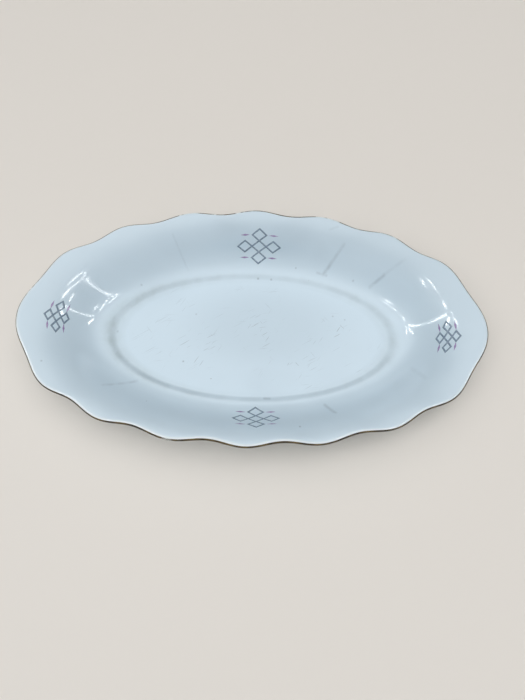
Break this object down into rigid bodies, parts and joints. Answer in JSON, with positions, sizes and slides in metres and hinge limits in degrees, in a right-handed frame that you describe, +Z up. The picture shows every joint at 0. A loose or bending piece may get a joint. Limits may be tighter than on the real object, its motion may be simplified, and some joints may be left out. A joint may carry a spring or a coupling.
{
  "type": "herring dish",
  "caption": "Oval porcelain serving dish with a scalloped gilded rim, an S-curved wall, a flat well, a foot ring and small lozenge prints on the wall.",
  "frame": {"origin": "middle of the dish in plan, on the level of the foot ring's standing edge", "axes": "+X along the length, +Y across the width, +Z up out of the well"},
  "size_m": [0.2726, 0.1444, 0.0341],
  "materials": {
    "porcelain": "bare fired, ground flat on the standing edge",
    "glaze": "glossy cool white with wear",
    "gilding": "thin worn gold line",
    "slate_ink": "fired print, glossy",
    "mauve_ink": "fired print, glossy"
  },
  "bodies": {
    "root": {"porcelain_body": "porcelain", "glaze_coat": "glaze", "base_glaze": "glaze", "rim_gilding": "gilding", "right_print_lozenges": "slate_ink", "right_print_stroke_1": "mauve_ink", "right_print_stroke_2": "mauve_ink", "right_print_stroke_3": "mauve_ink", "right_print_stroke_4": "mauve_ink", "rear_print_lozenges": "slate_ink", "rear_print_stroke_1": "mauve_ink", "rear_print_stroke_2": "mauve_ink", "rear_print_stroke_3": "mauve_ink", "rear_print_stroke_4": "mauve_ink", "left_print_lozenges": "slate_ink", "left_print_stroke_1": "mauve_ink", "left_print_stroke_2": "mauve_ink", "left_print_stroke_3": "mauve_ink", "left_print_stroke_4": "mauve_ink", "front_print_lozenges": "slate_ink", "front_print_stroke_1": "mauve_ink", "front_print_stroke_2": "mauve_ink", "front_print_stroke_3": "mauve_ink", "front_print_stroke_4": "mauve_ink"}
  },
  "joints": []
}
